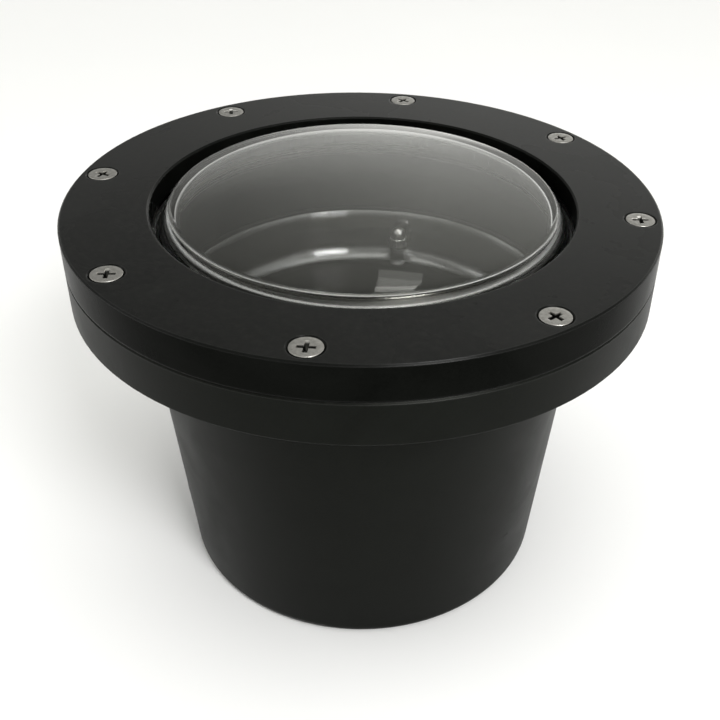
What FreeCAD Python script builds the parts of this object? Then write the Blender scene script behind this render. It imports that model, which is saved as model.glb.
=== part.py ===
import FreeCAD, Part
import math, os
import Sketcher
from FreeCAD import Placement, Rotation, Vector

# In-ground well light, standing on the foot of its housing.
# Millimetres. Origin: centre of the foot's rim, where it stands. +Z up, +Y towards the first deck stud.

SIZES = {
    # cover ring
    "cover_thickness": 13.5,
    "cover_lip_thickness": 8.5,
    "opening_gap": 7.0,
    "edge_chamfer": 0.6,
    # cover screws and the inserts they go into
    "screw_land": 13.8,
    "screw_inset": 8.0,
    "screw_count": 8,
    "screw_diameter": 6.0,
    "screw_head_diameter": 11.3,
    "screw_head_rim": 0.4,
    "screw_length": 21.0,
    "screw_tip": 0.8,
    "screw_hole_clearance": 0.3,
    "screw_seat_clearance": 0.02,
    "screw_thread_clearance": 0.05,
    "cross_length": 6.2,
    "cross_width": 1.2,
    "cross_depth": 2.4,
    "cross_taper": 8.0,
    "insert_diameter": 8.4,
    "insert_length": 10.0,
    # housing
    "body_height": 140.0,
    "flange_height": 16.0,
    "ledge_width": 7.2,
    "can_taper": 10.5,
    "can_wall": 5.0,
    "foot_wall": 6.5,
    "foot_depth": 26.0,
    "foot_edge_radius": 4.0,
    "base_thickness": 5.0,
    "base_corner_radius": 6.0,
    "flange_skin": 4.5,
    "flange_rim": 3.5,
    "flange_pocket_angle": 9.6,
    "under_flange_radius": 2.0,
    # lens and its channel gasket
    "gasket_seat_depth": 6.4,
    "gasket_side_clearance": 0.2,
    "gasket_wall": 2.0,
    "gasket_lip": 1.9,
    "gasket_reach": 3.5,
    "lens_flange_reach": 7.5,
    "crown_diameter": 141.0,
    "crown_draft": 6.0,
    "crown_wall": 5.0,
    "crown_rise": 4.8,
    "crown_edge_radius": 2.5,
    "lens_thickness": 7.0,
    "dish_draft": 1.5,
    "dish_corner_radius": 5.0,
    "lens_root_radius": 3.0,
    # lamp deck
    "deck_depth": 21.5,
    "deck_wall": 2.5,
    "deck_rim_width": 4.1,
    "deck_draft": 1.5,
    "deck_corner_radius": 7.0,
    "deck_rim_radius": 1.0,
    "deck_rim_gap": 0.4,
    "well_diameter": 68.0,
    "well_depth": 28.0,
    "well_draft": 1.5,
    "well_corner_radius": 4.0,
    # deck studs, washers and cap nuts
    "stud_inset": 4.0,
    "stud_count": 3,
    "stud_turn": 3.0,
    "stud_diameter": 4.0,
    "stud_grip": 12.0,
    "stud_hole_clearance": 0.25,
    "pillar_diameter": 7.2,
    "pillar_height": 8.0,
    "boss_diameter": 11.0,
    "boss_web": 3.0,
    "boss_web_overlap": 0.5,
    "washer_diameter": 7.6,
    "washer_thickness": 0.8,
    "cap_nut_flats": 7.0,
    "cap_nut_hex_height": 3.2,
    "cap_nut_height": 8.0,
    "cap_nut_wall": 2.0,
    "cap_nut_shoulder": 0.3,
    "thread_clearance": 0.02,
    # hollow swivel stem of the lamp bracket
    "stem_diameter": 10.0,
    "stem_bore": 6.4,
    "stem_clearance": 0.05,
    "stem_end": 1.5,
    "stem_nut_flats": 14.0,
    "stem_nut_height": 4.0,
    "thrust_washer_diameter": 22.0,
    "thrust_washer_thickness": 1.0,
    # swivelling yoke and tilting carrier
    "yoke_span": 44.0,
    "strip_width": 14.0,
    "strip_thickness": 2.0,
    "strip_bend_radius": 2.5,
    "pivot_height": 19.0,
    "pivot_diameter": 4.0,
    "pivot_clearance": 0.05,
    "pivot_head_diameter": 8.0,
    "pivot_head_height": 2.4,
    "pivot_tip": 1.0,
    "hole_overrun": 1.0,
    "carrier_gap": 0.35,
    "carrier_drop": 4.0,
    "carrier_thickness": 1.5,
    # lamp socket
    "socket_length": 27.0,
    "socket_width": 12.0,
    "socket_height": 13.0,
    "pin_spacing": 5.33,
    "pin_hole_diameter": 1.7,
    "contact_diameter": 2.8,
    "contact_length": 8.0,
    "contact_recess": 1.0,
    "socket_screw_spacing": 19.0,
    "socket_screw_diameter": 3.0,
    "socket_screw_head_diameter": 5.6,
    "socket_screw_head_height": 1.7,
    "lead_diameter": 5.0,
    "lead_drop": 9.5,
    "lead_hole_clearance": 0.4,
    "lead_overlap_in_stem": 3.5,
    # terminal block in the splice room
    "block_length": 34.0,
    "block_width": 17.0,
    "block_height": 14.0,
    "block_inset": 15.0,
    "block_foot_height": 4.0,
    "block_foot_diameter": 8.0,
    "block_screw_spacing": 26.0,
    "block_screw_diameter": 3.0,
    "block_screw_head_diameter": 5.6,
    "block_screw_head_height": 2.0,
    "clamp_screw_spacing": 8.0,
    "clamp_screw_diameter": 4.5,
    "clamp_screw_height": 3.0,
    "clamp_screw_recess": 1.0,
    # cable gland in the base
    "gland_inset": 19.5,
    "gland_thread": 20.0,
    "gland_hole_clearance": 0.2,
    "gland_bore": 12.0,
    "gland_flats": 24.0,
    "gland_flange_height": 5.0,
    "gland_washer_thickness": 1.5,
    "gland_nut_flats": 26.0,
    "gland_nut_height": 5.0,
    "gland_thread_end": 1.5,
    "gland_cap_height": 14.0,
    "gland_cap_lip": 3.0,
    "gland_nose": 2.0,
    "gland_mouth_clearance": 1.0,
    "cable_diameter": 8.0,
}


class Size:
    """A size and the formula that the document keeps for it."""

    def __init__(self, value, text):
        self.value = value
        self.text = text

    def joined(self, sign, other, value):
        return Size(value, f"({self.text} {sign} {other.text})")

    def __add__(self, other):
        other = as_size(other)
        return self.joined("+", other, self.value + other.value)

    def __sub__(self, other):
        other = as_size(other)
        return self.joined("-", other, self.value - other.value)

    def __mul__(self, other):
        other = as_size(other)
        return self.joined("*", other, self.value * other.value)

    def __truediv__(self, other):
        other = as_size(other)
        return self.joined("/", other, self.value / other.value)


def as_size(value):
    return value if isinstance(value, Size) else Size(float(value), repr(float(value)))


class Sheet:
    """The driving sizes, each read by its name."""

    def __init__(self, doc):
        cells = doc.addObject("Spreadsheet::Sheet", "Sizes")
        for row, (alias, number) in enumerate(SIZES.items(), start=1):
            cells.set(f"A{row}", alias)
            cells.set(f"B{row}", str(number))
            cells.setAlias(f"B{row}", alias)
            setattr(self, alias, Size(float(number), f"Sizes.{alias}"))


ZERO = as_size(0)
CLOCKWISE = Vector(0, 0, -1)
ABOUT_Y = Vector(0, 1, 0)
FULL_TURN = as_size(360)
NEAR = 0.01


# ---- document helpers ----

def new_body(doc, name, height=ZERO, x=ZERO, y=ZERO, turn=ZERO):
    """A sub-part whose own origin stands at (x, y, height), turned clockwise as seen from above."""
    body = doc.addObject("PartDesign::Body", name)
    body.Label = name
    body.AllowCompound = True
    body.Placement = Placement(Vector(x.value, y.value, height.value), Rotation(CLOCKWISE, turn.value))
    for axis, place in (("x", x), ("y", y), ("z", height)):
        body.setExpression(f".Placement.Base.{axis}", place.text)
    if turn is not ZERO:
        body.setExpression(".Placement.Rotation.Angle", turn.text)
    return body


def origin_part(body, role):
    return next(item for item in body.Origin.OriginFeatures if item.Role == role)


def new_sketch(body, name, plane, lift=ZERO, turn=ZERO, axis=CLOCKWISE):
    """A sketch on an origin plane, lifted along the plane's normal and turned about one of its axes."""
    sketch = body.newObject("Sketcher::SketchObject", name)
    sketch.AttachmentSupport = [(origin_part(body, plane), "")]
    sketch.MapMode = "FlatFace"
    sketch.AttachmentOffset = Placement(Vector(0, 0, lift.value), Rotation(axis, turn.value))
    if turn is not ZERO:
        sketch.setExpression(".AttachmentOffset.Rotation.Angle", turn.text)
    if lift is not ZERO:
        sketch.setExpression(".AttachmentOffset.Base.z", lift.text)
    return sketch


def pin_along(sketch, kind, geometry, point, place):
    """Fix a point's distance from the sketch's origin in X or in Y."""
    index = sketch.addConstraint(Sketcher.Constraint(kind, -1, 1, geometry, point, place.value))
    sketch.setExpression(f"Constraints[{index}]", place.text)


def pin_point(sketch, geometry, point, x, y):
    """Fix a point of the sketch at (x, y)."""
    for kind, axis, place in (("DistanceX", -2, x), ("DistanceY", -1, y)):
        if place.text == ZERO.text:
            sketch.addConstraint(Sketcher.Constraint("PointOnObject", geometry, point, axis))
        else:
            pin_along(sketch, kind, geometry, point, place)


def draw_outline(sketch, points):
    """A closed outline. A point marked 'dome' ends an arc whose centre lies on the sketch's Y axis."""
    corners = [(as_size(p[0]), as_size(p[1])) for p in points]
    count = len(corners)
    first = sketch.GeometryCount
    ends = []
    for i in range(count):
        start = Vector(corners[i][0].value, corners[i][1].value, 0)
        step = (i + 1) % count
        end = Vector(corners[step][0].value, corners[step][1].value, 0)
        if len(points[step]) > 2:
            arc, start_point, end_point = dome_arc(start, end)
            sketch.addGeometry(arc, False)
            ends.append((start_point, end_point))
            sketch.addConstraint(Sketcher.Constraint("PointOnObject", first + i, 3, -2))
        else:
            sketch.addGeometry(Part.LineSegment(start, end), False)
            ends.append((1, 2))
    for i in range(count):
        step = (i + 1) % count
        meeting = Sketcher.Constraint("Coincident", first + i, ends[i][1], first + step, ends[step][0])
        sketch.addConstraint(meeting)
        pin_point(sketch, first + i, ends[i][0], *corners[i])


def dome_arc(start, end):
    """The arc from start to end that is centred on the Y axis, and its start and end point numbers."""
    height = (end.x ** 2 + end.y ** 2 - start.x ** 2 - start.y ** 2) / (2 * (end.y - start.y))
    radius = math.hypot(start.x, start.y - height)
    circle = Part.Circle(Vector(0, height, 0), Vector(0, 0, 1), radius)
    from_angle = math.atan2(start.y - height, start.x)
    to_angle = math.atan2(end.y - height, end.x)
    if from_angle < to_angle:
        return Part.ArcOfCircle(circle, from_angle, to_angle), 1, 2
    return Part.ArcOfCircle(circle, to_angle, from_angle), 2, 1


def draw_circle(sketch, x, y, diameter):
    x, y, diameter = as_size(x), as_size(y), as_size(diameter)
    circle = Part.Circle(Vector(x.value, y.value, 0), Vector(0, 0, 1), diameter.value / 2)
    index = sketch.addGeometry(circle, False)
    pin_point(sketch, index, 3, x, y)
    size = sketch.addConstraint(Sketcher.Constraint("Diameter", index, diameter.value))
    sketch.setExpression(f"Constraints[{size}]", diameter.text)


def draw_box(sketch, x0, y0, x1, y1):
    draw_outline(sketch, [(x0, y0), (x1, y0), (x1, y1), (x0, y1)])


def draw_hexagon(sketch, flats, x=ZERO, y=ZERO):
    half_side = flats * (0.5 / math.sqrt(3))
    half_flats = flats / 2
    corners = [(1, -1), (1, 1), (0, 2), (-1, 1), (-1, -1), (0, -2)]
    draw_outline(sketch, [(x + half_flats * i, y + half_side * j) for i, j in corners])


def turned(body, name, points, kind="PartDesign::Revolution", axis_x=None, angle=None, turn=ZERO):
    """A solid of revolution, or a groove, about Z or about an upright axis at x = axis_x."""
    sketch = new_sketch(body, name + "_profile", "XZ_Plane", turn=turn, axis=ABOUT_Y)
    draw_outline(sketch, points)
    axis = "V_Axis"
    if axis_x is not None:
        line = Part.LineSegment(Vector(axis_x.value, 0, 0), Vector(axis_x.value, 1, 0))
        index = sketch.addGeometry(line, True)
        pin_point(sketch, index, 1, axis_x, ZERO)
        pin_point(sketch, index, 2, axis_x, as_size(1))
        axis = "Axis0"
    feature = body.newObject(kind, name)
    feature.Profile = sketch
    feature.ReferenceAxis = (sketch, [axis])
    feature.Angle = 360
    if angle is not None:
        feature.setExpression("Angle", angle.text)
        feature.Midplane = True
    body.Tip = feature
    return feature


def extruded(body, name, draw, length, plane="XY_Plane", lift=ZERO, turn=ZERO, kind="PartDesign::Pad",
             both_ways=False):
    """A pad or pocket of the outline that draw makes."""
    sketch = new_sketch(body, name + "_outline", plane, lift, turn)
    draw(sketch)
    feature = body.newObject(kind, name)
    feature.Profile = sketch
    feature.setExpression("Length", length.text)
    if both_ways:
        feature.Midplane = True
    body.Tip = feature
    return feature


def pocket(body, name, draw, length, **options):
    return extruded(body, name, draw, length, kind="PartDesign::Pocket", **options)


def spread(body, name, features, count):
    """Copies of the features, evenly round Z."""
    pattern = body.newObject("PartDesign::PolarPattern", name)
    pattern.Originals = features
    pattern.Axis = (origin_part(body, "Z_Axis"), [""])
    pattern.Angle = 360
    pattern.setExpression("Occurrences", count.text)
    body.Tip = pattern
    return pattern


def soften(doc, body, name, rings, size, kind="PartDesign::Fillet"):
    """Round or bevel the circular edges at the given (radius, height) places."""
    doc.recompute()
    base = body.Tip
    names = []
    for index, edge in enumerate(base.Shape.Edges, start=1):
        if edge.Degenerated or not isinstance(edge.Curve, Part.Circle):
            continue
        for radius, height in rings:
            centre = edge.Curve.Center
            on_axis = math.hypot(centre.x, centre.y) < NEAR
            fits = abs(edge.Curve.Radius - radius.value) < NEAR and abs(centre.z - height.value) < NEAR
            if on_axis and fits:
                names.append(f"Edge{index}")
    return dress(body, name, base, names, size, kind)


def soften_bends(doc, body, name, places, size):
    """Round the edges that run along Y at the given (x, z) places."""
    doc.recompute()
    base = body.Tip
    names = []
    for index, edge in enumerate(base.Shape.Edges, start=1):
        start, end = edge.Vertexes[0].Point, edge.Vertexes[-1].Point
        along_y = abs(start.x - end.x) < NEAR and abs(start.z - end.z) < NEAR
        for x, z in places:
            if along_y and abs(start.x - x.value) < NEAR and abs(start.z - z.value) < NEAR:
                names.append(f"Edge{index}")
    return dress(body, name, base, names, size, "PartDesign::Fillet")


def dress(body, name, base, names, size, kind):
    feature = body.newObject(kind, name)
    feature.Base = (base, names)
    feature.setExpression("Radius" if kind.endswith("Fillet") else "Size", size.text)
    body.Tip = feature
    return feature


# ---- places that several sub-parts share ----

class Layout:
    """Heights and radii worked out from the driving sizes."""

    def __init__(self, s):
        self.s = s
        # heights, from the foot up to the deck
        self.base_top = s.foot_depth + s.base_thickness
        self.block_bottom = self.base_top + s.block_foot_height
        self.stem_bottom = self.block_bottom + s.block_height / 2 + s.lead_drop
        self.well_underside = self.stem_bottom + s.stem_end + s.stem_nut_height
        self.well_floor = self.well_underside + s.deck_wall
        self.deck_floor = self.well_floor + s.well_depth
        self.deck_underside = self.deck_floor - s.deck_wall
        self.deck_rim_top = self.deck_floor + s.deck_depth
        self.deck_rim_bottom = self.deck_rim_top - s.deck_wall
        self.pillar_top = self.deck_floor + s.pillar_height
        self.cap_nut_seat = self.pillar_top + s.washer_thickness
        # heights of the flange, the lens and the cover
        self.ledge = s.body_height - s.gasket_seat_depth
        self.flange_bottom = s.body_height - s.flange_height
        self.top = s.body_height + s.cover_thickness
        self.gasket_top = self.top - s.cover_lip_thickness
        self.lens_bottom = self.ledge + s.gasket_lip
        self.lens_flange_top = self.gasket_top - s.gasket_lip
        # heights of the lamp bracket
        self.yoke_bottom = self.well_floor + s.thrust_washer_thickness
        self.yoke_top = self.yoke_bottom + s.strip_thickness
        self.stem_nut_bottom = self.yoke_top + s.thrust_washer_thickness
        self.stem_top = self.stem_nut_bottom + s.stem_nut_height + s.stem_end
        self.pivot = self.yoke_bottom + s.pivot_height
        self.carrier_top = self.pivot - s.carrier_drop
        self.socket_top = self.carrier_top + s.socket_height
        self.lead_joint = self.stem_top - s.lead_overlap_in_stem
        # heights of the cable gland
        self.gland_top = s.foot_depth - s.gland_washer_thickness
        self.gland_cap_top = self.gland_top - s.gland_flange_height
        # radii, from the lens's crown outwards
        self.crown = s.crown_diameter / 2
        self.opening = self.crown + s.opening_gap
        self.crown_root = self.crown + s.crown_draft
        self.dish = self.crown_root - s.crown_wall
        self.lens_rim = self.crown_root + s.lens_flange_reach
        self.gasket_mouth = self.lens_rim - s.gasket_reach
        self.gasket_radius = self.lens_rim + s.gasket_wall
        self.seat_radius = self.gasket_radius + s.gasket_side_clearance
        self.screw_radius = self.seat_radius + s.screw_land
        self.cover_radius = self.screw_radius + s.screw_inset
        # radii of the can and of what it holds
        self.can_top = self.seat_radius - s.ledge_width + s.can_wall
        self.can_foot = self.can_top - s.can_taper
        self.foot_bore = self.can_foot - s.foot_wall
        self.deck_rim = self.can_bore(self.deck_rim_bottom) - s.deck_rim_gap
        self.deck_wall_top = self.deck_rim - s.deck_rim_width
        self.deck_wall_foot = self.deck_wall_top - s.deck_draft
        self.stud_radius = self.deck_wall_foot - s.stud_inset
        self.gland_radius = self.stud_radius - s.gland_inset
        self.block_radius = self.foot_bore - s.block_inset

    def can_radius(self, height):
        """The can's outer radius at a height: it tapers from the flange to the foot."""
        return self.can_foot + self.s.can_taper * height / self.flange_bottom

    def can_bore(self, height):
        return self.can_radius(height) - self.s.can_wall


# ---- housing and cover ----

def make_housing(doc, s, at):
    """Moulded can with a wide cored flange, a gasket seat, a recessed base and deck bosses."""
    body = new_body(doc, "housing")
    bore_top = at.can_bore(at.flange_bottom)
    bore_base = at.can_bore(at.base_top)
    turned(body, "can", [
        (at.foot_bore, ZERO),
        (at.can_foot, ZERO),
        (at.can_top, at.flange_bottom),
        (at.cover_radius, at.flange_bottom),
        (at.cover_radius, s.body_height),
        (at.seat_radius, s.body_height),
        (at.seat_radius, at.ledge),
        (bore_top, at.ledge),
        (bore_top, at.flange_bottom),
        (bore_base, at.base_top),
        (ZERO, at.base_top),
        (ZERO, s.foot_depth),
        (at.foot_bore, s.foot_depth),
    ])
    soften(doc, body, "base_corner", [(bore_base, at.base_top)], s.base_corner_radius)
    soften(doc, body, "foot_edge", [(at.can_foot, ZERO)], s.foot_edge_radius)
    soften(doc, body, "under_flange", [(at.can_top, at.flange_bottom)], s.under_flange_radius)
    flange_edges = [(at.cover_radius, at.flange_bottom), (at.cover_radius, s.body_height)]
    soften(doc, body, "flange_edges", flange_edges, s.edge_chamfer, "PartDesign::Chamfer")
    core_flange(body, s, at)
    hole = pocket(body, "insert_hole", lambda k: draw_circle(k, at.screw_radius, ZERO, s.insert_diameter),
                  s.insert_length, lift=s.body_height)
    spread(body, "insert_holes", [hole], s.screw_count)
    add_deck_bosses(body, s, at)
    add_block_feet(body, s, at)
    gland_hole = s.gland_thread + s.gland_hole_clearance * 2
    pocket(body, "gland_hole", lambda k: draw_circle(k, ZERO, at.gland_radius, gland_hole),
           s.base_thickness, lift=at.base_top)
    return body


def core_flange(body, s, at):
    """Pockets under the flange: three between each pair of screw bosses, with thin ribs between them."""
    inner = at.can_top + s.flange_rim
    outer = at.cover_radius - s.flange_rim
    roof = s.body_height - s.flange_skin
    quarter = FULL_TURN / s.screw_count / 4
    for k in range(1, 4):
        turn = quarter * k
        groove = turned(body, f"flange_pocket_{k}", [
            (inner, at.flange_bottom),
            (outer, at.flange_bottom),
            (outer, roof),
            (inner, roof),
        ], kind="PartDesign::Groove", angle=s.flange_pocket_angle, turn=turn)
        spread(body, f"flange_pockets_{k}", [groove], s.screw_count)


def add_deck_bosses(body, s, at):
    """Bosses webbed to the can's wall, which carry the deck and its studs."""
    height = at.deck_underside - at.base_top
    centre = at.stud_radius
    web_end = at.can_bore(at.deck_underside) + s.boss_web_overlap
    half_web = s.boss_web / 2
    boss = extruded(body, "deck_boss", lambda k: draw_circle(k, ZERO, centre, s.boss_diameter),
                    height, lift=at.base_top, turn=s.stud_turn)
    web = extruded(body, "deck_boss_web", lambda k: draw_box(k, half_web * -1, centre, half_web, web_end),
                   height, lift=at.base_top, turn=s.stud_turn)
    hole = pocket(body, "stud_hole", lambda k: draw_circle(k, ZERO, centre, s.stud_diameter),
                  s.stud_grip, lift=at.deck_underside, turn=s.stud_turn)
    spread(body, "deck_bosses", [boss, web, hole], s.stud_count)


def add_block_feet(body, s, at):
    """Two low feet for the terminal block, with blind screw holes."""
    depth = s.block_foot_height + s.base_thickness / 2
    for side, name in ((-1, "left"), (1, "right")):
        x = s.block_screw_spacing * (side / 2)
        y = at.block_radius * -1
        extruded(body, f"block_foot_{name}", lambda k: draw_circle(k, x, y, s.block_foot_diameter),
                 s.block_foot_height, lift=at.base_top)
        pocket(body, f"block_hole_{name}", lambda k: draw_circle(k, x, y, s.block_screw_diameter),
               depth, lift=at.block_bottom)


def make_cover_ring(doc, s, at):
    """Flat ring with countersunk holes, rebated below for the gasket."""
    body = new_body(doc, "cover_ring", s.body_height)
    rebate = s.cover_thickness - s.cover_lip_thickness
    turned(body, "ring", [
        (at.seat_radius, ZERO),
        (at.cover_radius, ZERO),
        (at.cover_radius, s.cover_thickness),
        (at.opening, s.cover_thickness),
        (at.opening, rebate),
        (at.seat_radius, rebate),
    ])
    rings = [
        (at.cover_radius, s.cover_thickness),
        (at.cover_radius, ZERO),
        (at.opening, s.cover_thickness),
    ]
    soften(doc, body, "ring_edges", rings, s.edge_chamfer, "PartDesign::Chamfer")
    centre = at.screw_radius
    hole = s.screw_diameter / 2 + s.screw_hole_clearance
    sink = s.screw_head_diameter / 2 + s.screw_head_rim + s.screw_seat_clearance
    sunk = turned(body, "screw_hole", [
        (centre, ZERO),
        (centre + hole, ZERO),
        (centre + hole, s.cover_thickness - (sink - hole)),
        (centre + sink, s.cover_thickness),
        (centre, s.cover_thickness),
    ], kind="PartDesign::Groove", axis_x=centre)
    spread(body, "screw_holes", [sunk], s.screw_count)
    return body


def make_cover_screws(doc, s, at):
    """Countersunk cross-recess screws, flush with the cover."""
    body = new_body(doc, "cover_screws", at.top)
    centre = at.screw_radius
    shank = s.screw_diameter / 2 - s.screw_thread_clearance
    head = s.screw_head_diameter / 2
    head_height = s.screw_head_rim + (head - shank)
    screw = turned(body, "screw", [
        (centre, s.screw_length * -1),
        (centre + shank - s.screw_tip, s.screw_length * -1),
        (centre + shank, (s.screw_length - s.screw_tip) * -1),
        (centre + shank, head_height * -1),
        (centre + head, s.screw_head_rim * -1),
        (centre + head, ZERO),
        (centre, ZERO),
    ], axis_x=centre)
    arm = s.cross_length / 2
    half = s.cross_width / 2

    def cross(sketch):
        corners = [
            (arm, half), (half, half), (half, arm), (half * -1, arm), (half * -1, half), (arm * -1, half),
            (arm * -1, half * -1), (half * -1, half * -1), (half * -1, arm * -1), (half, arm * -1),
            (half, half * -1), (arm, half * -1),
        ]
        draw_outline(sketch, [(centre + x, y) for x, y in corners])

    recess = pocket(body, "cross", cross, s.cross_depth)
    recess.setExpression("TaperAngle", (s.cross_taper * -1).text)
    spread(body, "screws", [screw, recess], s.screw_count)
    return body


def make_screw_inserts(doc, s, at):
    """Threaded sleeves moulded into the flange."""
    body = new_body(doc, "screw_inserts", s.body_height - s.insert_length)
    centre = at.screw_radius
    sleeve = turned(body, "insert", [
        (centre + s.screw_diameter / 2, ZERO),
        (centre + s.insert_diameter / 2, ZERO),
        (centre + s.insert_diameter / 2, s.insert_length),
        (centre + s.screw_diameter / 2, s.insert_length),
    ], axis_x=centre)
    spread(body, "inserts", [sleeve], s.screw_count)
    return body


# ---- lens and gasket ----

def make_lens(doc, s, at):
    """Pressed glass: a clamped flange, a raised domed crown with sloping sides, and a dish below it."""
    body = new_body(doc, "lens", at.lens_bottom)
    flange = at.lens_flange_top - at.lens_bottom
    edge = at.top - at.lens_bottom
    apex = edge + s.crown_rise
    dish_top = at.dish - s.dish_draft
    ceiling = apex - s.lens_thickness
    share = dish_top / at.crown
    dish_edge = ceiling - s.crown_rise * share * share
    turned(body, "glass", [
        (at.dish, ZERO),
        (at.lens_rim, ZERO),
        (at.lens_rim, flange),
        (at.crown_root, flange),
        (at.crown, edge),
        (ZERO, apex, "dome"),
        (ZERO, ceiling),
        (dish_top, dish_edge, "dome"),
    ])
    soften(doc, body, "crown_edge", [(at.crown, edge)], s.crown_edge_radius)
    soften(doc, body, "crown_root", [(at.crown_root, flange)], s.lens_root_radius)
    soften(doc, body, "dish_corner", [(dish_top, dish_edge)], s.dish_corner_radius)
    rims = [(at.lens_rim, ZERO), (at.lens_rim, flange), (at.dish, ZERO)]
    soften(doc, body, "lens_rims", rims, s.edge_chamfer, "PartDesign::Chamfer")
    return body


def make_lens_gasket(doc, s, at):
    """Rubber channel round the lens flange."""
    body = new_body(doc, "lens_gasket", at.ledge)
    height = at.gasket_top - at.ledge
    turned(body, "channel", [
        (at.gasket_mouth, ZERO),
        (at.gasket_radius, ZERO),
        (at.gasket_radius, height),
        (at.gasket_mouth, height),
        (at.gasket_mouth, height - s.gasket_lip),
        (at.lens_rim, height - s.gasket_lip),
        (at.lens_rim, s.gasket_lip),
        (at.gasket_mouth, s.gasket_lip),
    ])
    return body


# ---- deck ----

def make_lamp_deck(doc, s, at):
    """Black tray that closes the splice room, with a central well for the lamp bracket."""
    body = new_body(doc, "lamp_deck", at.well_underside, turn=s.stud_turn)

    def up(height):
        return height - at.well_underside

    wall_top = at.deck_wall_top
    wall_foot = at.deck_wall_foot
    well_top = s.well_diameter / 2
    well_foot = well_top - s.well_draft
    stem_hole = s.stem_diameter / 2
    turned(body, "tray", [
        (stem_hole, ZERO),
        (well_foot + s.deck_wall, ZERO),
        (well_top + s.deck_wall, up(at.deck_underside)),
        (wall_foot + s.deck_wall, up(at.deck_underside)),
        (wall_top + s.deck_wall, up(at.deck_rim_bottom)),
        (at.deck_rim, up(at.deck_rim_bottom)),
        (at.deck_rim, up(at.deck_rim_top)),
        (wall_top, up(at.deck_rim_top)),
        (wall_foot, up(at.deck_floor)),
        (well_top, up(at.deck_floor)),
        (well_foot, up(at.well_floor)),
        (stem_hole, up(at.well_floor)),
    ])
    outer_round = s.deck_corner_radius + s.deck_wall
    soften(doc, body, "deck_corner", [(wall_foot, up(at.deck_floor))], s.deck_corner_radius)
    soften(doc, body, "deck_corner_under", [(wall_foot + s.deck_wall, up(at.deck_underside))], outer_round)
    soften(doc, body, "well_mouth", [(well_top, up(at.deck_floor))], s.deck_wall / 2)
    soften(doc, body, "well_corner", [(well_foot, up(at.well_floor))], s.well_corner_radius)
    soften(doc, body, "deck_rim", [(wall_top, up(at.deck_rim_top))], s.deck_rim_radius)
    centre = at.stud_radius
    pillar = extruded(body, "pillar", lambda k: draw_circle(k, ZERO, centre, s.pillar_diameter),
                      s.pillar_height + s.deck_wall, lift=up(at.deck_underside))
    bore = s.stud_diameter + s.stud_hole_clearance * 2
    hole = pocket(body, "pillar_hole", lambda k: draw_circle(k, ZERO, centre, bore),
                  s.pillar_height + s.deck_wall, lift=up(at.pillar_top))
    spread(body, "pillars", [pillar, hole], s.stud_count)
    return body


def make_deck_studs(doc, s, at):
    """Studs threaded into the bosses, which hold the deck down."""
    foot = at.deck_underside - s.stud_grip
    body = new_body(doc, "deck_studs", foot, turn=s.stud_turn)
    length = at.cap_nut_seat + s.cap_nut_hex_height + s.cap_nut_wall - foot
    centre = at.stud_radius
    stud = extruded(body, "stud", lambda k: draw_circle(k, ZERO, centre, s.stud_diameter), length)
    spread(body, "studs", [stud], s.stud_count)
    return body


def make_deck_washers(doc, s, at):
    body = new_body(doc, "deck_washers", at.pillar_top, turn=s.stud_turn)
    centre = at.stud_radius

    def ring(sketch):
        draw_circle(sketch, ZERO, centre, s.washer_diameter)
        draw_circle(sketch, ZERO, centre, s.stud_diameter + s.stud_hole_clearance * 2)

    washer = extruded(body, "washer", ring, s.washer_thickness)
    spread(body, "washers", [washer], s.stud_count)
    return body


def make_deck_cap_nuts(doc, s, at):
    """Domed nuts: the shiny heads seen through the lens."""
    body = new_body(doc, "deck_cap_nuts", at.cap_nut_seat, turn=s.stud_turn)
    centre = at.stud_radius
    nut = extruded(body, "nut", lambda k: draw_hexagon(k, s.cap_nut_flats, ZERO, centre),
                   s.cap_nut_hex_height)
    neck = s.cap_nut_flats / 2 - s.cap_nut_shoulder
    shoulder = s.cap_nut_height - neck
    dome = dome_on(body, s, centre, neck, shoulder)
    thread = s.stud_diameter + s.thread_clearance * 2
    depth = s.cap_nut_hex_height + s.cap_nut_wall
    hole = pocket(body, "nut_thread", lambda k: draw_circle(k, ZERO, centre, thread), depth, lift=depth)
    spread(body, "nuts", [nut, dome, hole], s.stud_count)
    return body


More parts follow.
